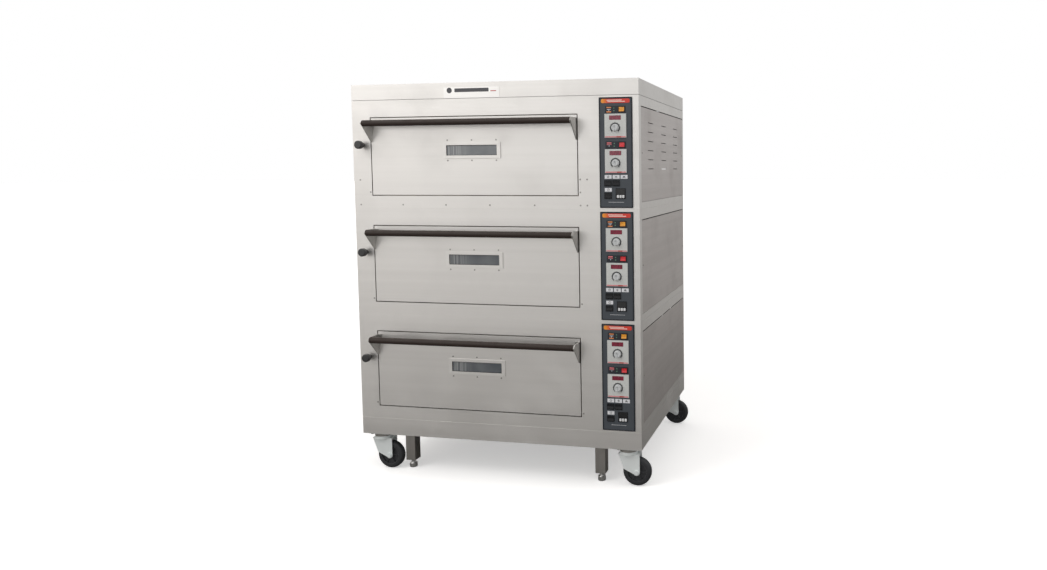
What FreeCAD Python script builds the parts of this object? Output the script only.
import FreeCAD, Part
import math
import os

os.makedirs("parts", exist_ok=True)
V = FreeCAD.Vector

# Three-deck electric baking oven on casters, in millimetres.
# +Z is up, the doors face -Y and +X is to the right of someone facing the doors.
# While it is drawn, X = Y = 0 is the middle of the cabinet and Z = 0 is the floor.
# At the end everything moves sideways, so that the origin is the middle of the whole
# outline, handles, outlets and casters included.

# Cabinet
WIDTH = 1300.0
DEPTH = 920.0
DECKS = 3
DECK_HEIGHT = 472.0
PLINTH_HEIGHT = 75.0
TOP_COVER_HEIGHT = 68.0
SHEET = 1.2
DECK_SEAM = 1.5
CORNER_FOLD = 36.0
REAR_FOLD = 20.0
TOP_RAIL = 42.0
BOTTOM_RAIL = 30.0
COVER_GAP = 1.0
COVER_SLOT = 4.0
PARTITION_FROM_DOOR = 47.0

# Fits
RUNNING = 0.06
FACE_GAP = 0.3

# Door and its recess
DOOR_FROM_LEFT = 90.0
DOOR_FROM_RIGHT = 266.0
DOOR_FROM_BOTTOM = 60.0
DOOR_FROM_TOP = 77.0
DOOR_GAP = 4.0
DOOR_THICKNESS = 45.0
DOOR_RETURN = 20.0
LINER_STEP = 10.0
LINER_STEP_BOTTOM = 22.0
RECESS_CLEARANCE = 4.0
SEAL_SPACE = 2.0
SEAL_THICKNESS = 1.5
SEAL_WIDTH = 9.0
PIVOT_UP = 12.0
PIVOT_BACK = 12.0
PIN_RADIUS = 5.0
PIN_IN_DOOR = 20.0
PIN_OUTSIDE = 10.0
BOSS_LENGTH = 25.0

# Door window
WINDOW_WIDTH = 232.0
WINDOW_HEIGHT = 44.0
WINDOW_FROM_DECK = 252.0
BEZEL_BORDER_X = 16.0
BEZEL_BORDER_Z = 12.5
BEZEL_PROUD = 4.0
GLASS_OVERLAP = 3.0
GLASS_THICKNESS = 4.0
GLASS_GAP = 1.0
BOSS_GAP = 1.0
WINDOW_SCREW_SPACING = 112.0
WINDOW_SCREW_MARGIN = 9.0

# Door handle
BAR_RADIUS = 13.5
BAR_FROM_TOP = 26.0
BAR_PROUD = 65.0
BRACKET_THICKNESS = 4.0
BRACKET_DROP = 78.0
BRACKET_FLANGE = 18.0
BRACKET_TIP = 5.0

# Baking chamber, hearth and heating elements
CHAMBER_FROM_BACK = 133.0
DOOR_LAP_SIDE = 32.0
DOOR_LAP_BOTTOM = 35.0
DOOR_LAP_TOP = 25.0
CHAMBER_SHEET = 1.2
HEARTH_UP = 29.0
HEARTH_THICKNESS = 6.0
HEARTH_GAP = 2.0
HEARTH_RAIL = 15.0
ELEMENT_RADIUS = 5.0
ELEMENT_FROM_END = 82.5
HAIRPINS = 3
ELEMENT_MARGIN = 14.0
ELEMENT_TAIL = 30.0
INSULATION = 60.0
WOOL_FROM_ROD = 14.0
WOOL_FROM_PARTITION = 19.0
WOOL_FROM_TOP = 22.0

# Damper: a pull knob, its rod and the blade over the chamber's vent
KNOB_FROM_LEFT = 48.0
KNOB_FROM_DECK = 279.0
KNOB_RADIUS = 18.0
KNOB_LENGTH = 22.0
KNOB_ROUNDING = 4.4
KNOB_SOCKET = 13.2
KNOB_PROUD = 40.0
STEM_RADIUS = 10.0
STEM_NECK_RADIUS = 7.0
ROD_RADIUS = 4.0
DAMPER_TRAVEL = 60.0
VENT_RADIUS = 20.0
VENT_FROM_BACK = 150.0
BLADE_SHORT = 10.0
BLADE_GAP = 0.5

# Steam outlet at the back
OUTLET_RADIUS = 25.0
OUTLET_LENGTH = 30.0
OUTLET_FROM_LEFT = 30.0

# Control panel, its layout measured from its own upper left corner
PANEL_WIDTH = 142.0
PANEL_HEIGHT = 456.0
PANEL_FROM_RIGHT = 27.0
PANEL_FROM_DECK = 7.5
PANEL_PROUD = 3.0
PANEL_LAP = 10.0
CONTROLLER = (25.0, 117.0, 98.0)
CONTROLLER_TOPS = (68.0, 213.0)
CONTROLLER_PROUD = 4.0
CONTROLLER_DEPTH = 60.0
CONTROLLER_RIM = 6.0
TIMER = (69.0, 111.0, 374.0, 418.0)
TIMER_DEPTH = 36.0
DIAL_U = 70.0
DIAL_DROP = 57.5
DIAL_RADIUS = 15.0
DIAL_HEIGHT = 13.0
DIAL_TOP_RADIUS = 13.2
DIAL_RIDGE = (4.3, 24.0, 2.6)
DIAL_SHAFT = 3.0
DIAL_SHAFT_LENGTH = 14.0
SWITCHES = {
    "top_heat": (84.0, 111.0, 39.0, 63.0),
    "bottom_heat": (84.0, 111.0, 184.0, 208.0),
    "power": (20.0, 52.0, 340.0, 366.0),
    "lamp": (55.0, 87.0, 340.0, 366.0),
    "timer": (20.0, 52.0, 392.0, 418.0),
}
SWITCH_RIM = 2.0
SWITCH_PROUD = 2.0
SWITCH_DEPTH = 18.0
ROCKER_GAP = 0.5
ROCKER_TILT = 7.0
ROCKER_HALF = 4.0
ROCKER_BACK_SHARE = 0.8
TRUNNION_RADIUS = 1.5
TRUNNION_LENGTH = 1.2

# Casters
WHEEL_RADIUS = 62.5
WHEEL_WIDTH = 32.0
CASTER_TRAIL = 38.0
CASTER_FROM_SIDE = 70.0
CASTER_FROM_FRONT = 50.0
PLATE_X = 100.0
PLATE_Y = 85.0
PLATE_THICKNESS = 4.0
FORK_SHEET = 3.0
FORK_GAP = 3.0
CROWN_UNDER = 27.0
RACE_HEIGHT = 14.0
RACE_RADIUS = 38.0
KINGPIN_RADIUS = 6.0
AXLE_RADIUS = 6.0
AXLE_HEAD_RADIUS = 9.6
AXLE_HEAD = 6.0
FORK_EYE_RADIUS = 14.4
FORK_REACH = 42.0
FORK_HEEL_IN = 24.0
FORK_HEEL_DOWN = 66.0
TYRE_THICKNESS = 20.0
TYRE_CHAMFER = 8.75
HUB_RADIUS = 15.0
HUB_SLOPE = 3.0
WEB_THICKNESS = 14.4

# Legs with levelling feet
LEG_SIZE = 45.0
LEG_WALL = 2.0
LEG_SWING_GAP = 7.0
LEG_FROM_FRONT = 74.0
LEG_OFF_FLOOR = 37.0
NUT_PLATE = 10.0
FOOT_RADIUS = 17.0
FOOT_HEIGHT = 22.0
FOOT_STEM_RADIUS = 8.0
FOOT_STEM = 50.0

# Electrical gear: width, depth from the partition and height of each block
LAMP_RADIUS = 18.0
LAMP_LENGTH = 55.0
LAMP_FROM_FLANGE = 200.0
LAMP_GAP = 0.3
RAIL_UP = 60.0
RAIL_FROM_BACK = 70.0
RAIL_LENGTH = 170.0
RAIL_SIZE = 35.0
RAIL_DEPTH = 7.5
BLOCK_GAP = 2.0
CONTACTOR = (45.0, 80.0, 85.0)
TERMINALS = (60.0, 45.0, 50.0)

# Screws, name plate, louvres and cable gland
CASTER_BOLT = 5.0
CASTER_BOLT_RADIUS = 7.0
CASTER_BOLT_MARGIN = 13.0
HINGE_SCREW_OUT = 11.5
FRONT_SCREW_UP = 17.0
FRONT_SCREW_EDGE = 30.0
FRONT_SCREW_STEPS = 5
COVER_SCREW_IN = 16.0
BACK_SCREW_GAP = 20.0
JAMB_SCREW_UP = 126.0
SCREW_RADIUS = 3.5
SCREW_HEAD = 1.6
SCREW_ROUNDING = 0.96
BADGE = (254.0, 46.0)
BADGE_FROM_LEFT = 440.0
BADGE_UP = 24.5
LOUVRE_LENGTH = 96.0
LOUVRE_HEIGHT = 3.0
LOUVRE_PITCH = 39.5
LOUVRE_ROWS = 6
LOUVRE_BELOW_TOP = 107.0
LOUVRE_COLUMNS = (0.22, 0.5, 0.78)
GLAND_RADIUS = 14.0
GLAND_COLLAR_RADIUS = 18.2
GLAND_BORE = 9.0
GLAND_LENGTH = 34.0
GLAND_FROM_RIGHT = 120.0
GLAND_UP = 90.0

# Places worked out from the sizes above
LEFT = -WIDTH / 2
RIGHT = WIDTH / 2
FRONT = -DEPTH / 2
BACK = DEPTH / 2
BASE = 2 * WHEEL_RADIUS + CROWN_UNDER + RACE_HEIGHT + PLATE_THICKNESS
DECK_FLOOR = BASE + PLINTH_HEIGHT
CABINET_TOP = DECK_FLOOR + DECKS * DECK_HEIGHT
DOOR_X = (LEFT + DOOR_FROM_LEFT, RIGHT - DOOR_FROM_RIGHT)
DOOR_MIDDLE = sum(DOOR_X) / 2
DOOR_HEIGHT = DECK_HEIGHT - DOOR_FROM_BOTTOM - DOOR_FROM_TOP
FLANGE_Y = FRONT + DOOR_THICKNESS + SEAL_SPACE
PIVOT_Y = FRONT + PIVOT_BACK
CHAMBER_X = (DOOR_X[0] + DOOR_LAP_SIDE, DOOR_X[1] - DOOR_LAP_SIDE)
CHAMBER_BACK = BACK - CHAMBER_FROM_BACK
PARTITION = DOOR_X[1] + PARTITION_FROM_DOOR
PANEL_LEFT = RIGHT - PANEL_FROM_RIGHT - PANEL_WIDTH
ROD_X = LEFT + KNOB_FROM_LEFT
VENT_Y = CHAMBER_BACK - VENT_FROM_BACK
BLADE_SIZE = DAMPER_TRAVEL - BLADE_SHORT
VENT_MOUTH = ROD_X + WOOL_FROM_ROD
LEG_FROM_SIDE = CASTER_FROM_SIDE + CASTER_TRAIL + WHEEL_RADIUS + LEG_SWING_GAP + LEG_SIZE / 2
ELEMENT_PITCH = (CHAMBER_BACK - FLANGE_Y - 2 * ELEMENT_FROM_END) / (2 * HAIRPINS - 1)
OUTLET_X = LEFT + OUTLET_FROM_LEFT
GLAND_X = RIGHT - GLAND_FROM_RIGHT
UP = (0, 0, 1)
BACKWARD = (0, 1, 0)
RIGHTWARD = (1, 0, 0)
CORNERS = {
    "front_left": (-1, -1),
    "front_right": (1, -1),
    "rear_left": (-1, 1),
    "rear_right": (1, 1),
}


def deck_bottom(deck):
    """Height of a deck's underside. Deck 1 is the top one."""
    return DECK_FLOOR + (DECKS - deck) * DECK_HEIGHT


def block(x, y, z):
    """A rectangular block, given its two limits along each axis."""
    return Part.makeBox(x[1] - x[0], y[1] - y[0], z[1] - z[0], V(x[0], y[0], z[0]))


def rod(start, axis, radius, length):
    """A round bar from a point along an axis."""
    return Part.makeCylinder(radius, length, V(*start), V(*axis))


def grown(limits, by):
    """Limits moved outwards by the same amount at both ends."""
    return (limits[0] - by, limits[1] + by)


def fuse(pieces):
    """One welded piece."""
    joined = pieces[0]
    for piece in pieces[1:]:
        joined = joined.fuse(piece)
    return joined.removeSplitter()


def cut(piece, tools):
    """A piece less a list of others."""
    for tool in tools:
        piece = piece.cut(tool)
    return piece


def outline(points, normal, thickness):
    """A flat plate of straight edges, thickened along its normal."""
    corners = [V(*point) for point in points]
    face = Part.Face(Part.makePolygon(corners + corners[:1]))
    return face.extrude(V(*normal) * thickness)


def screw_head(place, axis):
    """A low domed screw head standing on a face."""
    head = rod(place, axis, SCREW_RADIUS, SCREW_HEAD)
    tip = [edge for edge in head.Edges if edge.CenterOfMass.distanceToPoint(V(*place)) > SCREW_HEAD / 2]
    return head.makeFillet(SCREW_ROUNDING, [edge for edge in tip if edge.Closed])


def door_z(deck):
    """Bottom and top of a deck's door."""
    bottom = deck_bottom(deck) + DOOR_FROM_BOTTOM
    return (bottom, bottom + DOOR_HEIGHT)


def chamber_z(deck):
    """Inside bottom and top of a deck's baking chamber."""
    bottom, top = door_z(deck)
    return (bottom + DOOR_LAP_BOTTOM, top - DOOR_LAP_TOP)


def panel_box(deck, u, v, y):
    """A block on the control panel, u from its left edge and v down from its top."""
    top = deck_bottom(deck) + PANEL_FROM_DECK + PANEL_HEIGHT
    return block((PANEL_LEFT + u[0], PANEL_LEFT + u[1]), y, (top - v[1], top - v[0]))


def dial_place(deck, number):
    """Centre of a dial on its controller's face."""
    top = deck_bottom(deck) + PANEL_FROM_DECK + PANEL_HEIGHT
    drop = CONTROLLER_TOPS[number] + DIAL_DROP
    return (PANEL_LEFT + DIAL_U, FRONT - PANEL_PROUD - CONTROLLER_PROUD, top - drop)


def rocker_place(deck, name):
    """Centre of a rocker's pivot."""
    u0, u1, v0, v1 = SWITCHES[name]
    top = deck_bottom(deck) + PANEL_FROM_DECK + PANEL_HEIGHT
    return (PANEL_LEFT + (u0 + u1) / 2, FRONT - PANEL_PROUD + ROCKER_HALF, top - (v0 + v1) / 2)


def element_heights(deck):
    """Axis heights of the lower and the upper heating grid."""
    floor, ceiling = chamber_z(deck)
    return (floor + ELEMENT_MARGIN, ceiling - ELEMENT_MARGIN)


def element_rows():
    """Distances from front to back of the hairpins' legs, in pairs."""
    first = FLANGE_Y + ELEMENT_FROM_END
    return [first + row * ELEMENT_PITCH for row in range(2 * HAIRPINS)]


# Base: a folded plinth tray, four welded square legs and the casters' fixed plates
def base_frame():
    outer = block((LEFT, RIGHT), (FRONT, BACK), (BASE, DECK_FLOOR))
    hollow = block(grown((LEFT, RIGHT), -SHEET), grown((FRONT, BACK), -SHEET), (BASE + SHEET, DECK_FLOOR))
    pieces = [outer.cut(hollow)]
    for corner in CORNERS:
        pieces.append(leg_tube(corner))
        pieces.append(caster_plate(corner))
    return pieces


def leg_place(corner):
    side, end = CORNERS[corner]
    return side * (RIGHT - LEG_FROM_SIDE), end * (BACK - LEG_FROM_FRONT)


def leg_tube(corner):
    x, y = leg_place(corner)
    half = LEG_SIZE / 2
    outer = block((x - half, x + half), (y - half, y + half), (LEG_OFF_FLOOR, BASE))
    inner = half - LEG_WALL
    bottom = LEG_OFF_FLOOR + NUT_PLATE
    hollow = block((x - inner, x + inner), (y - inner, y + inner), (bottom, BASE))
    thread = rod((x, y, LEG_OFF_FLOOR), UP, FOOT_STEM_RADIUS + RUNNING, NUT_PLATE)
    return cut(outer, [hollow, thread])


def caster_place(corner):
    side, end = CORNERS[corner]
    return side * (RIGHT - CASTER_FROM_SIDE), end * (BACK - CASTER_FROM_FRONT)


def crown_top():
    """Top of the fork's turning race."""
    return 2 * WHEEL_RADIUS + CROWN_UNDER


def caster_plate(corner):
    x, y = caster_place(corner)
    under = BASE - PLATE_THICKNESS
    plate = block((x - PLATE_X / 2, x + PLATE_X / 2), (y - PLATE_Y / 2, y + PLATE_Y / 2), (under, BASE))
    race_bottom = crown_top() + FACE_GAP
    race = rod((x, y, race_bottom), UP, RACE_RADIUS, under - race_bottom)
    pin_bottom = crown_top() - CROWN_UNDER / 2
    kingpin = rod((x, y, pin_bottom), UP, KINGPIN_RADIUS, under - pin_bottom)
    return fuse([plate, race, kingpin])


# Casters: a zinc-plated fork that swivels on the kingpin, and a solid-tyred wheel
def caster_fork(corner):
    x, y = caster_place(corner)
    axle_x = x + CASTER_TRAIL
    inner = WHEEL_WIDTH / 2 + FORK_GAP
    outer = inner + FORK_SHEET
    crown_bottom = crown_top() - CROWN_UNDER / 2
    crown_z = (crown_bottom, crown_bottom + FORK_SHEET)
    rear_edge = x - FORK_REACH
    front_edge = axle_x + FORK_EYE_RADIUS
    heel_x = rear_edge + FORK_HEEL_IN
    heel_z = crown_z[1] - FORK_HEEL_DOWN
    pieces = [block((rear_edge, front_edge), (y - outer, y + outer), crown_z)]
    pieces.append(rod((x, y, crown_z[0]), UP, RACE_RADIUS, crown_top() - crown_z[0]))
    for near in (y - outer, y + inner):
        corners = [
            (rear_edge, near, crown_z[1]),
            (front_edge, near, crown_z[1]),
            (front_edge, near, WHEEL_RADIUS),
            (axle_x, near, WHEEL_RADIUS - FORK_EYE_RADIUS),
            (heel_x, near, heel_z),
        ]
        pieces.append(outline(corners, BACKWARD, FORK_SHEET))
        pieces.append(rod((axle_x, near, WHEEL_RADIUS), BACKWARD, FORK_EYE_RADIUS, FORK_SHEET))
    king_hole = rod((x, y, 0), UP, KINGPIN_RADIUS + RUNNING, BASE)
    axle_hole = rod((axle_x, y - outer, WHEEL_RADIUS), BACKWARD, AXLE_RADIUS, 2 * outer)
    fork = cut(fuse(pieces), [king_hole, axle_hole])
    nut = AXLE_HEAD
    axle = rod((axle_x, y - outer, WHEEL_RADIUS), BACKWARD, AXLE_RADIUS, 2 * outer)
    head = rod((axle_x, y - outer - nut, WHEEL_RADIUS), BACKWARD, AXLE_HEAD_RADIUS, nut)
    end = rod((axle_x, y + outer, WHEEL_RADIUS), BACKWARD, AXLE_HEAD_RADIUS, nut)
    return [fork, fuse([axle, head, end])]


def caster_wheel(corner):
    x, y = caster_place(corner)
    half = WHEEL_WIDTH / 2
    shoulder = WHEEL_RADIUS - TYRE_CHAMFER
    rim = WHEEL_RADIUS - TYRE_THICKNESS
    web = WEB_THICKNESS / 2
    bore = AXLE_RADIUS + RUNNING
    profile = [
        (bore, -half),
        (HUB_RADIUS, -half),
        (HUB_RADIUS + HUB_SLOPE, -web),
        (rim - HUB_SLOPE, -web),
        (rim, -half),
        (shoulder, -half),
        (WHEEL_RADIUS, -web),
        (WHEEL_RADIUS, web),
        (shoulder, half),
        (rim, half),
        (rim - HUB_SLOPE, web),
        (HUB_RADIUS + HUB_SLOPE, web),
        (HUB_RADIUS, half),
        (bore, half),
    ]
    centre = V(x + CASTER_TRAIL, y, WHEEL_RADIUS)
    points = [centre + V(radius, along, 0) for radius, along in profile]
    face = Part.Face(Part.makePolygon(points + points[:1]))
    return [face.revolve(centre, V(*BACKWARD), 360)]


# Levelling foot: a pad on a threaded stem, screwed into the leg's nut plate
def levelling_foot(corner):
    x, y = leg_place(corner)
    pad = rod((x, y, 0), UP, FOOT_RADIUS, FOOT_HEIGHT)
    pad = pad.makeChamfer(2, [edge for edge in pad.Edges if edge.Closed])
    stem = rod((x, y, FOOT_HEIGHT), UP, FOOT_STEM_RADIUS, FOOT_STEM)
    return [fuse([pad, stem])]


# Deck casing: one welded carcass, and the steam outlet stub let into its back
def deck_casing(deck):
    low = deck_bottom(deck)
    high = low + DECK_HEIGHT
    sheet_z = (low + DECK_SEAM, high)
    pieces = [front_sheet(deck), back_sheet(deck)]
    for edge in (LEFT, RIGHT - SHEET):
        wall = block((edge, edge + SHEET), (FRONT, BACK), sheet_z)
        opening_z = (low + BOTTOM_RAIL, high - TOP_RAIL)
        opening_y = (FRONT + CORNER_FOLD, BACK - REAR_FOLD)
        pieces.append(wall.cut(block((edge, edge + SHEET), opening_y, opening_z)))
    floor_z = (low, low + DECK_SEAM + SHEET)
    pieces.append(block((LEFT, RIGHT), (FRONT, BACK), floor_z).cut(seam_groove(low)))
    inside = (FRONT + SHEET, BACK - SHEET)
    pieces.append(block((PARTITION, PARTITION + SHEET), inside, (low + SHEET, high - SHEET)))
    pieces.append(rod_guide(deck))
    return [fuse(pieces), steam_outlet(deck)]


def seam_groove(low):
    """The shadow line round the cabinet where one deck stands on the next."""
    around = block((LEFT, RIGHT), (FRONT, BACK), (low, low + DECK_SEAM))
    inside_x = grown((LEFT, RIGHT), -SHEET)
    inside_y = grown((FRONT, BACK), -SHEET)
    return around.cut(block(inside_x, inside_y, (low, low + DECK_SEAM)))


def front_sheet(deck):
    low = deck_bottom(deck)
    through = (FRONT, FRONT + SHEET)
    sheet = block((LEFT, RIGHT), through, (low + DECK_SEAM, low + DECK_HEIGHT))
    door = block(grown(DOOR_X, DOOR_GAP), through, grown(door_z(deck), DOOR_GAP))
    lap_u = (PANEL_LAP, PANEL_WIDTH - PANEL_LAP)
    controls = panel_box(deck, lap_u, (PANEL_LAP, PANEL_HEIGHT - PANEL_LAP), through)
    knob_hole = rod((ROD_X, FRONT, low + KNOB_FROM_DECK), BACKWARD, ROD_RADIUS + RUNNING, SHEET)
    return cut(sheet, [door, controls, knob_hole])


def back_sheet(deck):
    low = deck_bottom(deck)
    through = (BACK - SHEET, BACK)
    sheet = block((LEFT, RIGHT), through, (low + DECK_SEAM, low + DECK_HEIGHT))
    holes = [rod((OUTLET_X, BACK - SHEET, low + KNOB_FROM_DECK), BACKWARD, OUTLET_RADIUS, SHEET)]
    middle = (PARTITION + RIGHT) / 2
    for row in range(LOUVRE_ROWS):
        z = low + DECK_HEIGHT - LOUVRE_BELOW_TOP - row * LOUVRE_PITCH
        slot_x = (middle - LOUVRE_LENGTH / 2, middle + LOUVRE_LENGTH / 2)
        holes.append(block(slot_x, through, (z, z + LOUVRE_HEIGHT)))
    if deck == DECKS:
        holes.append(rod((GLAND_X, BACK - SHEET, low + GLAND_UP), BACKWARD, GLAND_RADIUS, SHEET))
    return cut(sheet, holes)


def rod_guide(deck):
    """A post on the deck's floor that carries the damper rod halfway back."""
    low = deck_bottom(deck)
    height = low + KNOB_FROM_DECK
    half = ROD_RADIUS * 2
    post = block((ROD_X - half, ROD_X + half), (0, SHEET * 2), (low + DECK_SEAM, height + half))
    return post.cut(rod((ROD_X, 0, height), BACKWARD, ROD_RADIUS + RUNNING, SHEET * 2))


def steam_outlet(deck):
    place = (OUTLET_X, BACK - SHEET, deck_bottom(deck) + KNOB_FROM_DECK)
    length = OUTLET_LENGTH + SHEET
    pipe = rod(place, BACKWARD, OUTLET_RADIUS, length)
    return pipe.cut(rod(place, BACKWARD, OUTLET_RADIUS - SHEET, length))


# Side covers: flat removable sheets, the right one of the top deck with louvre slots
def side_covers():
    covers = []
    for deck in range(1, DECKS + 1):
        low = deck_bottom(deck)
        y = (FRONT + CORNER_FOLD + COVER_GAP, BACK - REAR_FOLD - COVER_GAP)
        z = (low + BOTTOM_RAIL + COVER_GAP, low + DECK_HEIGHT - TOP_RAIL - COVER_SLOT)
        covers.append(block((LEFT, LEFT + SHEET), y, z))
        right = block((RIGHT - SHEET, RIGHT), y, z)
        if deck == 1:
            right = cut(right, louvres(low + DECK_HEIGHT))
        covers.append(right)
    return covers


def louvres(deck_top):
    """Ventilation slots in three columns over the electrical compartment."""
    slots = []
    for share in LOUVRE_COLUMNS:
        middle = FRONT + share * DEPTH
        for row in range(LOUVRE_ROWS):
            z = deck_top - LOUVRE_BELOW_TOP - row * LOUVRE_PITCH
            y = (middle - LOUVRE_LENGTH / 2, middle + LOUVRE_LENGTH / 2)
            slots.append(block((RIGHT - SHEET, RIGHT), y, (z, z + LOUVRE_HEIGHT)))
    return slots


# Top cover: a folded lid, and the blank name plate on its front
def top_cover():
    top = CABINET_TOP + TOP_COVER_HEIGHT
    shell = block((LEFT, RIGHT), (FRONT, BACK), (CABINET_TOP + DECK_SEAM, top))
    hollow_z = (CABINET_TOP, top - SHEET)
    hollow = block(grown((LEFT, RIGHT), -SHEET), grown((FRONT, BACK), -SHEET), hollow_z)
    middle = CABINET_TOP + BADGE_UP
    plate_x = (LEFT + BADGE_FROM_LEFT, LEFT + BADGE_FROM_LEFT + BADGE[0])
    plate_z = (middle - BADGE[1] / 2, middle + BADGE[1] / 2)
    plate = block(plate_x, (FRONT - SHEET, FRONT), plate_z)
    return [shell.cut(hollow), plate]


# Baking chambers: a welded box with the door's recess in front and a vent at the left
def baking_chambers():
    return [baking_chamber(deck) for deck in range(1, DECKS + 1)]


def recess_limits(deck):
    around = DOOR_GAP + RECESS_CLEARANCE
    return grown(DOOR_X, around), grown(door_z(deck), around)


def baking_chamber(deck):
    z = chamber_z(deck)
    recess_x, recess_z = recess_limits(deck)
    recess_y = (FRONT + SHEET, FLANGE_Y + CHAMBER_SHEET)
    outer = block(grown(recess_x, SHEET), recess_y, grown(recess_z, SHEET))
    recess = outer.cut(block(recess_x, (FRONT, FLANGE_Y), recess_z))
    box_y = (FLANGE_Y, CHAMBER_BACK + CHAMBER_SHEET)
    box = block(grown(CHAMBER_X, CHAMBER_SHEET), box_y, grown(z, CHAMBER_SHEET))
    vent_z = deck_bottom(deck) + KNOB_FROM_DECK
    vent_length = CHAMBER_X[0] - VENT_MOUTH
    vent = rod((VENT_MOUTH, VENT_Y, vent_z), RIGHTWARD, VENT_RADIUS, vent_length)
    shell = fuse([recess, box, vent])
    inside = block(CHAMBER_X, (FRONT, CHAMBER_BACK), z)
    vent_bore = rod((VENT_MOUTH, VENT_Y, vent_z), RIGHTWARD, VENT_RADIUS - SHEET, vent_length)
    pins = [hinge_pin(deck, side) for side in (-1, 1)]
    tails = []
    for height in element_heights(deck):
        for y in element_rows():
            tails.append(rod((CHAMBER_X[1], y, height), RIGHTWARD, ELEMENT_RADIUS, CHAMBER_SHEET))
    shell = cut(shell, [inside, vent_bore] + pins + tails)
    rail_z = (z[0] + HEARTH_UP - SHEET, z[0] + HEARTH_UP)
    rail_y = (FLANGE_Y + HEARTH_RAIL, CHAMBER_BACK)
    left_rail = block((CHAMBER_X[0], CHAMBER_X[0] + HEARTH_RAIL), rail_y, rail_z)
    right_rail = block((CHAMBER_X[1] - HEARTH_RAIL, CHAMBER_X[1]), rail_y, rail_z)
    return fuse([shell, left_rail, right_rail])


def pin_start(deck, side):
    """Outer end of a hinge pin at the left (-1) or right (1) of the door."""
    recess_x = recess_limits(deck)[0]
    if side < 0:
        return recess_x[0] - PIN_OUTSIDE
    return DOOR_X[1] - PIN_IN_DOOR


def hinge_pin(deck, side):
    length = PIN_OUTSIDE + RECESS_CLEARANCE + DOOR_GAP + PIN_IN_DOOR
    height = door_z(deck)[0] + PIVOT_UP
    return rod((pin_start(deck, side), PIVOT_Y, height), RIGHTWARD, PIN_RADIUS, length)


# Hearth plates: thick plates that slide in on the chambers' rails
def hearth_plates():
    plates = []
    for deck in range(1, DECKS + 1):
        bottom = chamber_z(deck)[0] + HEARTH_UP
        x = grown(CHAMBER_X, -HEARTH_GAP)
        y = (FLANGE_Y + HEARTH_RAIL, CHAMBER_BACK - HEARTH_GAP)
        plates.append(block(x, y, (bottom, bottom + HEARTH_THICKNESS)))
    return plates


# Heating elements: hairpins that come in through the right wall, below and above
def heating_elements():
    hairpins = []
    rows = element_rows()
    bend = ELEMENT_PITCH / 2
    turn_x = CHAMBER_X[0] + bend + HEARTH_RAIL + ELEMENT_MARGIN
    length = CHAMBER_X[1] + CHAMBER_SHEET + ELEMENT_TAIL - turn_x
    for deck in range(1, DECKS + 1):
        for height in element_heights(deck):
            for near, far in zip(rows[0::2], rows[1::2]):
                legs = [rod((turn_x, y, height), RIGHTWARD, ELEMENT_RADIUS, length) for y in (near, far)]
                ring = Part.makeTorus(bend, ELEMENT_RADIUS, V(turn_x, (near + far) / 2, height), V(*UP))
                keep_x = (turn_x - ELEMENT_PITCH, turn_x)
                keep_y = (near - ELEMENT_PITCH, far + ELEMENT_PITCH)
                half = ring.common(block(keep_x, keep_y, grown((height, height), ELEMENT_PITCH)))
                hairpins.append(fuse([half] + legs))
    return hairpins


# Insulation: mineral fibre packed round each chamber, and the rope seal at its mouth
def insulation():
    pieces = []
    for deck in range(1, DECKS + 1):
        low = deck_bottom(deck)
        z = chamber_z(deck)
        chamber_y = (FRONT, CHAMBER_BACK + CHAMBER_SHEET)
        chamber = block(grown(CHAMBER_X, CHAMBER_SHEET), chamber_y, grown(z, CHAMBER_SHEET))
        wool_x = (VENT_MOUTH, PARTITION - WOOL_FROM_PARTITION)
        wool_y = (FLANGE_Y + CHAMBER_SHEET, CHAMBER_BACK + INSULATION)
        wool_z = (low + DECK_SEAM + SHEET, low + DECK_HEIGHT - WOOL_FROM_TOP)
        wool = block(wool_x, wool_y, wool_z)
        vent_z = low + KNOB_FROM_DECK
        vent = rod((VENT_MOUTH, VENT_Y, vent_z), RIGHTWARD, VENT_RADIUS, CHAMBER_X[0] - VENT_MOUTH)
        tails = []
        rows = element_rows()
        for height in element_heights(deck):
            space_y = grown((rows[0], rows[-1]), ELEMENT_MARGIN)
            space_x = (CHAMBER_X[1], PARTITION)
            tails.append(block(space_x, space_y, grown((height, height), ELEMENT_MARGIN)))
        pieces.append(cut(wool, [chamber, vent, lamp_space(deck)] + tails))
        pieces.append(door_seal(deck))
    return pieces


def door_seal(deck):
    """A flat rope round the chamber's mouth, which the closed door comes up to."""
    z = chamber_z(deck)
    y = (FLANGE_Y - SEAL_THICKNESS, FLANGE_Y)
    ring = block(grown(CHAMBER_X, SEAL_WIDTH), y, grown(z, SEAL_WIDTH))
    return ring.cut(block(CHAMBER_X, y, z))


def lamp_place(deck):
    height = (chamber_z(deck)[0] + chamber_z(deck)[1]) / 2
    return (CHAMBER_X[1] + CHAMBER_SHEET, FLANGE_Y + LAMP_FROM_FLANGE, height)


def lamp_space(deck):
    return rod(lamp_place(deck), RIGHTWARD, LAMP_RADIUS, INSULATION)


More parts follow.
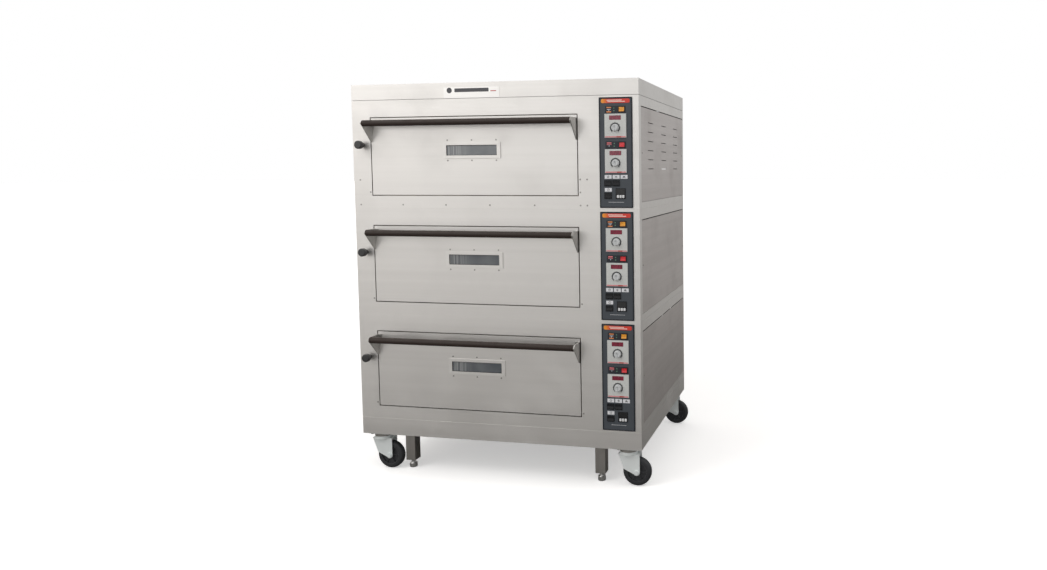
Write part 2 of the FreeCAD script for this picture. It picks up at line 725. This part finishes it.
# Electrical gear: oven lamps, contactors, terminal strips and the mains cable gland
def electrical_gear():
    pieces = []
    for deck in range(1, DECKS + 1):
        pieces.append(rod(lamp_place(deck), RIGHTWARD, LAMP_RADIUS - LAMP_GAP, LAMP_LENGTH))
        middle = deck_bottom(deck) + DECK_HEIGHT / 2 + RAIL_UP
        x = PARTITION + SHEET
        near = BACK - RAIL_FROM_BACK - RAIL_LENGTH
        rail_z = grown((middle, middle), RAIL_SIZE / 2)
        pieces.append(block((x, x + RAIL_DEPTH), (near, near + RAIL_LENGTH), rail_z))
        face = x + RAIL_DEPTH
        start = near
        for width, depth, height in (CONTACTOR, CONTACTOR, TERMINALS):
            z = grown((middle, middle), height / 2)
            pieces.append(block((face, face + depth), (start, start + width), z))
            start += width + BLOCK_GAP
    pieces.append(cable_gland())
    return pieces


def cable_gland():
    place = (GLAND_X, BACK - SHEET, deck_bottom(DECKS) + GLAND_UP)
    nut = GLAND_LENGTH / 3
    inner = rod((place[0], BACK - SHEET - nut, place[2]), BACKWARD, GLAND_COLLAR_RADIUS, nut)
    neck = rod(place, BACKWARD, GLAND_RADIUS, GLAND_LENGTH)
    collar = rod((place[0], BACK, place[2]), BACKWARD, GLAND_COLLAR_RADIUS, nut)
    body = fuse([inner, neck, collar])
    return body.cut(rod((place[0], BACK - SHEET - nut, place[2]), BACKWARD, GLAND_BORE, GLAND_LENGTH + nut))


# Door: outer pan, inner liner with the window tunnel, bezel and screws
def window_limits(deck):
    middle = deck_bottom(deck) + WINDOW_FROM_DECK
    x = grown((DOOR_MIDDLE, DOOR_MIDDLE), WINDOW_WIDTH / 2)
    return x, grown((middle, middle), WINDOW_HEIGHT / 2)


def door_leaf(deck):
    z = door_z(deck)
    window_x, window_z = window_limits(deck)
    pocket = GLASS_OVERLAP + GLASS_GAP
    pan = block(DOOR_X, (FRONT, FRONT + DOOR_RETURN), z)
    pan = pan.cut(block(grown(DOOR_X, -SHEET), (FRONT + SHEET, FRONT + DOOR_RETURN), grown(z, -SHEET)))
    bosses = []
    for x in ((DOOR_X[0], DOOR_X[0] + BOSS_LENGTH), (DOOR_X[1] - BOSS_LENGTH, DOOR_X[1])):
        boss_z = (z[0], z[0] + LINER_STEP_BOTTOM - BOSS_GAP)
        bosses.append(block(x, (FRONT, FRONT + DOOR_RETURN), boss_z))
    pan = fuse([pan] + bosses)
    pin_holes = []
    for side in (-1, 1):
        pin = hinge_pin(deck, side)
        centre = pin.CenterOfMass
        length = BOSS_LENGTH * 4
        hole = rod((centre.x - length / 2, centre.y, centre.z), RIGHTWARD, PIN_RADIUS + RUNNING, length)
        edge = DOOR_X[0] if side < 0 else DOOR_X[1] - PIN_IN_DOOR - BOSS_GAP
        keep = block((edge, edge + PIN_IN_DOOR + BOSS_GAP), (FRONT, BACK), z)
        pin_holes.append(hole.common(keep))
    hole_x = grown(window_x, pocket)
    hole_z = grown(window_z, pocket)
    pan = cut(pan, pin_holes + [block(hole_x, (FRONT, FRONT + SHEET), hole_z)])
    return [pan, door_liner(deck), window_bezel(deck)] + window_screws(deck)


def door_liner(deck):
    z = door_z(deck)
    window_x, window_z = window_limits(deck)
    pocket = GLASS_OVERLAP + GLASS_GAP
    y = (FRONT + SHEET, FRONT + DOOR_THICKNESS)
    liner_x = grown(DOOR_X, -LINER_STEP)
    liner_z = (z[0] + LINER_STEP_BOTTOM, z[1] - LINER_STEP)
    tray = block(liner_x, y, liner_z)
    tray = tray.cut(block(grown(liner_x, -SHEET), (y[0], y[1] - SHEET), grown(liner_z, -SHEET)))
    sleeve_x = grown(window_x, pocket + SHEET)
    sleeve = block(sleeve_x, y, grown(window_z, pocket + SHEET))
    inside = block(grown(window_x, pocket), (y[0], y[1] - SHEET), grown(window_z, pocket))
    sight = block(window_x, y, window_z)
    return cut(fuse([tray, sleeve]), [inside, sight])


def window_bezel(deck):
    window_x, window_z = window_limits(deck)
    y = (FRONT - BEZEL_PROUD, FRONT)
    frame_x = grown(window_x, BEZEL_BORDER_X)
    frame = block(frame_x, y, grown(window_z, BEZEL_BORDER_Z))
    return frame.cut(block(window_x, y, window_z))


def window_screws(deck):
    window_z = grown(window_limits(deck)[1], BEZEL_BORDER_Z + WINDOW_SCREW_MARGIN)
    screws = []
    for z in window_z:
        for step in (-1, 0, 1):
            x = DOOR_MIDDLE + step * WINDOW_SCREW_SPACING
            screws.append(screw_head((x, FRONT, z), (0, -1, 0)))
    return screws


def window_glass(deck):
    window_x, window_z = window_limits(deck)
    pane_x = grown(window_x, GLASS_OVERLAP)
    pane_z = grown(window_z, GLASS_OVERLAP)
    back = FRONT + DOOR_THICKNESS - SHEET
    outer = block(pane_x, (FRONT, FRONT + GLASS_THICKNESS), pane_z)
    inner = block(pane_x, (back - GLASS_THICKNESS, back), pane_z)
    return [outer, inner]


# Handle: a round grip held between two folded triangular brackets
def door_handle(deck):
    top = door_z(deck)[1]
    axis_z = top - BAR_FROM_TOP
    axis_y = FRONT - BAR_PROUD
    inner = grown(DOOR_X, -BRACKET_THICKNESS)
    pieces = [rod((inner[0], axis_y, axis_z), RIGHTWARD, BAR_RADIUS, inner[1] - inner[0])]
    for side in (0, 1):
        pieces.append(handle_bracket(side, axis_y, axis_z))
    return pieces


def handle_bracket(side, axis_y, axis_z):
    """A gusset at the door's edge, with a tapering flange flat on the door."""
    x = DOOR_X[0] if side == 0 else DOOR_X[1] - BRACKET_THICKNESS
    tip = axis_z - BRACKET_DROP
    high = axis_z + BAR_RADIUS
    low = axis_z - BAR_RADIUS
    corners = [
        (x, FRONT, high),
        (x, axis_y, high),
        (x, axis_y - BAR_RADIUS, axis_z),
        (x, axis_y, low),
        (x, FRONT - BRACKET_TIP, tip),
        (x, FRONT, tip),
    ]
    gusset = outline(corners, RIGHTWARD, BRACKET_THICKNESS)
    inward = BRACKET_THICKNESS + BRACKET_FLANGE if side == 0 else -BRACKET_FLANGE
    near = x if side == 0 else x + BRACKET_THICKNESS
    y = FRONT - SHEET * 2
    flange_corners = [(near, y, high), (x + inward, y, high), (near, y, tip)]
    return fuse([gusset, outline(flange_corners, BACKWARD, SHEET * 2)])


# Damper: a turned knob on a long rod, with the sliding blade at its far end
def damper(deck):
    z = deck_bottom(deck) + KNOB_FROM_DECK
    front = FRONT - KNOB_PROUD
    knob = rod((ROD_X, front, z), BACKWARD, KNOB_RADIUS, KNOB_LENGTH)
    knob = knob.makeFillet(KNOB_ROUNDING, [edge for edge in knob.Edges if edge.Closed])
    stem_length = KNOB_PROUD - KNOB_LENGTH - FACE_GAP
    stem_start = V(ROD_X, front + KNOB_LENGTH, z)
    stem = Part.makeCone(STEM_NECK_RADIUS, STEM_RADIUS, stem_length, stem_start, V(*BACKWARD))
    socket_start = front + KNOB_LENGTH - KNOB_SOCKET
    handle = fuse([knob, stem])
    socket = rod((ROD_X, socket_start, z), BACKWARD, ROD_RADIUS, KNOB_PROUD)
    handle = handle.cut(socket)
    blade_y = grown((VENT_Y, VENT_Y), BLADE_SIZE / 2)
    bar = rod((ROD_X, socket_start, z), BACKWARD, ROD_RADIUS, blade_y[0] - socket_start)
    blade_x = (VENT_MOUTH - BLADE_GAP - SHEET, VENT_MOUTH - BLADE_GAP)
    blade = block(blade_x, blade_y, grown((z, z), BLADE_SIZE / 2))
    tail_y = (blade_y[0] - SHEET * 2, blade_y[0])
    tail = block((ROD_X - ROD_RADIUS, blade_x[1]), tail_y, grown((z, z), BLADE_SIZE / 4))
    return [handle, fuse([bar, tail, blade])]


# Control panel: plate, two temperature controllers, a timer and five switch housings
def control_panel(deck):
    face = FRONT - PANEL_PROUD
    plate = panel_box(deck, (0, PANEL_WIDTH), (0, PANEL_HEIGHT), (face, FRONT))
    pieces = []
    holes = []
    for number, top in enumerate(CONTROLLER_TOPS):
        u = CONTROLLER[:2]
        v = (top, top + CONTROLLER[2])
        bezel = panel_box(deck, u, v, (face - CONTROLLER_PROUD, face))
        body_u = grown(u, -CONTROLLER_RIM)
        body_v = grown(v, -CONTROLLER_RIM)
        body = panel_box(deck, body_u, body_v, (face, FRONT + CONTROLLER_DEPTH))
        bore = rod(dial_place(deck, number), BACKWARD, DIAL_SHAFT + RUNNING, DIAL_SHAFT_LENGTH + FACE_GAP)
        pieces.append(fuse([bezel, body]).cut(bore))
        holes.append(body)
    timer_u = TIMER[:2]
    timer_v = TIMER[2:]
    bezel = panel_box(deck, timer_u, timer_v, (face - SWITCH_PROUD, face))
    rim = grown(timer_u, -SWITCH_RIM)
    body = panel_box(deck, rim, grown(timer_v, -SWITCH_RIM), (face, FRONT + TIMER_DEPTH))
    pieces.append(fuse([bezel, body]))
    holes.append(body)
    for name in SWITCHES:
        housing, neck = switch_housing(deck, name)
        pieces.append(housing)
        holes.append(neck)
    return [cut(plate, holes)] + pieces


def switch_housing(deck, name):
    u0, u1, v0, v1 = SWITCHES[name]
    face = FRONT - PANEL_PROUD
    bezel = panel_box(deck, (u0, u1), (v0, v1), (face - SWITCH_PROUD, face))
    neck_u = grown((u0, u1), -SWITCH_RIM / 2)
    neck_v = grown((v0, v1), -SWITCH_RIM / 2)
    neck = panel_box(deck, neck_u, neck_v, (face, FRONT + SWITCH_DEPTH))
    cavity_y = (face - SWITCH_PROUD, FRONT + SWITCH_DEPTH - SWITCH_RIM)
    cavity = panel_box(deck, grown((u0, u1), -SWITCH_RIM), grown((v0, v1), -SWITCH_RIM), cavity_y)
    x, y, z = rocker_place(deck, name)
    half = (u1 - u0) / 2 - SWITCH_RIM + TRUNNION_LENGTH
    bearing = rod((x - half, y, z), RIGHTWARD, TRUNNION_RADIUS + RUNNING, 2 * half)
    return cut(fuse([bezel, neck]), [cavity, bearing]), neck


# Rocker: a paddle with two slopes that tilts on its trunnions, shown switched off
def rocker(deck, name):
    u0, u1, v0, v1 = SWITCHES[name]
    x, y, z = rocker_place(deck, name)
    half_x = (u1 - u0) / 2 - SWITCH_RIM - ROCKER_GAP
    half_z = (v1 - v0) / 2 - SWITCH_RIM - ROCKER_GAP * 2
    slope = half_z * math.tan(math.radians(ROCKER_TILT))
    front = y - ROCKER_HALF - SWITCH_PROUD
    corners = [
        (x - half_x, front, z),
        (x - half_x, front - slope, z + half_z),
        (x - half_x, y + ROCKER_HALF, z + half_z * ROCKER_BACK_SHARE),
        (x - half_x, y + ROCKER_HALF, z - half_z * ROCKER_BACK_SHARE),
        (x - half_x, front - slope, z - half_z),
    ]
    paddle = outline(corners, RIGHTWARD, 2 * half_x)
    half_pin = (u1 - u0) / 2 - SWITCH_RIM + TRUNNION_LENGTH - ROCKER_GAP
    trunnion = rod((x - half_pin, y, z), RIGHTWARD, TRUNNION_RADIUS, 2 * half_pin)
    piece = fuse([paddle, trunnion])
    piece.rotate(V(x, y, z), V(*RIGHTWARD), -ROCKER_TILT)
    return [piece]


# Dial: a ribbed knob with a pointer ridge, on the controller's shaft
def dial(deck, number):
    x, y, z = dial_place(deck, number)
    front = y - FACE_GAP - DIAL_HEIGHT
    knob = Part.makeCone(DIAL_TOP_RADIUS, DIAL_RADIUS, DIAL_HEIGHT, V(x, front, z), V(*BACKWARD))
    width, length, proud = DIAL_RIDGE
    ridge = block(grown((x, x), width / 2), (front - proud, front + SHEET), grown((z, z), length / 2))
    shaft = rod((x, front + DIAL_HEIGHT - SHEET, z), BACKWARD, DIAL_SHAFT, DIAL_SHAFT_LENGTH)
    return [fuse([knob, ridge, shaft])]


# Fasteners: hinge pins and every visible screw and bolt head
def fasteners():
    pieces = []
    outward = (0, -1, 0)
    for deck in range(1, DECKS + 1):
        low = deck_bottom(deck)
        for side in (-1, 1):
            pieces.append(hinge_pin(deck, side))
            x = DOOR_X[0] - HINGE_SCREW_OUT if side < 0 else DOOR_X[1] + HINGE_SCREW_OUT
            pieces.append(screw_head((x, FRONT, door_z(deck)[0] + PIVOT_UP), outward))
            pieces.extend(cover_screws(low, side))
        under_outlet = KNOB_FROM_DECK - OUTLET_RADIUS - BACK_SCREW_GAP
        for x in (LEFT + COVER_SCREW_IN, RIGHT - COVER_SCREW_IN):
            for up in (BOTTOM_RAIL, under_outlet, DECK_HEIGHT - BOTTOM_RAIL):
                pieces.append(screw_head((x, BACK, low + up), BACKWARD))
    pieces.extend(front_screws())
    for corner in CORNERS:
        pieces.extend(caster_bolts(corner))
    return pieces


def cover_screws(low, side):
    """One screw in the middle of each upright edge of a side cover."""
    x = RIGHT if side > 0 else LEFT
    z = low + DECK_HEIGHT / 2
    front = FRONT + CORNER_FOLD + COVER_SCREW_IN
    back = BACK - REAR_FOLD - COVER_SCREW_IN
    return [screw_head((x, y, z), (side, 0, 0)) for y in (front, back)]


def front_screws():
    """The row of screws under the top deck's door, and the pairs beside it."""
    low = deck_bottom(1)
    first = LEFT + FRONT_SCREW_EDGE
    last = DOOR_X[1] + HINGE_SCREW_OUT
    step = (last - first) / FRONT_SCREW_STEPS
    places = [(first + number * step, low + FRONT_SCREW_UP) for number in range(FRONT_SCREW_STEPS + 1)]
    pair = last + FRONT_SCREW_EDGE
    places.append((pair, low + FRONT_SCREW_UP))
    places += [(x, low + JAMB_SCREW_UP) for x in (first, last, pair)]
    return [screw_head((x, FRONT, z), (0, -1, 0)) for x, z in places]


def caster_bolts(corner):
    x, y = caster_place(corner)
    under = BASE - PLATE_THICKNESS
    bolts = []
    for dx in (-1, 1):
        for dy in (-1, 1):
            bolt_x = x + dx * (PLATE_X / 2 - CASTER_BOLT_MARGIN)
            bolt_y = y + dy * (PLATE_Y / 2 - CASTER_BOLT_MARGIN)
            bolts.append(rod((bolt_x, bolt_y, under - CASTER_BOLT), UP, CASTER_BOLT_RADIUS, CASTER_BOLT))
    return bolts


# Every sub-part by name
nodes = {
    "base_frame": base_frame(),
    "top_cover": top_cover(),
    "side_covers": side_covers(),
    "baking_chambers": baking_chambers(),
    "hearth_plates": hearth_plates(),
    "heating_elements": heating_elements(),
    "insulation": insulation(),
    "electrical_gear": electrical_gear(),
    "fasteners": fasteners(),
}
for deck in range(1, DECKS + 1):
    nodes[f"deck{deck}_casing"] = deck_casing(deck)
    nodes[f"deck{deck}_control_panel"] = control_panel(deck)
    nodes[f"deck{deck}_door_leaf"] = door_leaf(deck)
    nodes[f"deck{deck}_door_handle"] = door_handle(deck)
    nodes[f"deck{deck}_window_glass"] = window_glass(deck)
    nodes[f"deck{deck}_damper"] = damper(deck)
    nodes[f"deck{deck}_dial_top_heat"] = dial(deck, 0)
    nodes[f"deck{deck}_dial_bottom_heat"] = dial(deck, 1)
    for name in SWITCHES:
        nodes[f"deck{deck}_rocker_{name}"] = rocker(deck, name)
for corner in CORNERS:
    nodes[f"caster_fork_{corner}"] = caster_fork(corner)
    nodes[f"caster_wheel_{corner}"] = caster_wheel(corner)
    nodes[f"foot_{corner}"] = levelling_foot(corner)

# The origin goes to the middle of the whole outline, on the floor
whole = Part.makeCompound([piece for pieces in nodes.values() for piece in pieces]).BoundBox
SHIFT = V(-whole.Center.x, -whole.Center.y, 0)
for name, pieces in nodes.items():
    shape = Part.makeCompound(pieces)
    shape.translate(SHIFT)
    nodes[name] = shape
    shape.exportStep(f"parts/{name}.step")
print(len(nodes), "sub-parts, origin moved by", round(SHIFT.x, 2), round(SHIFT.y, 2))
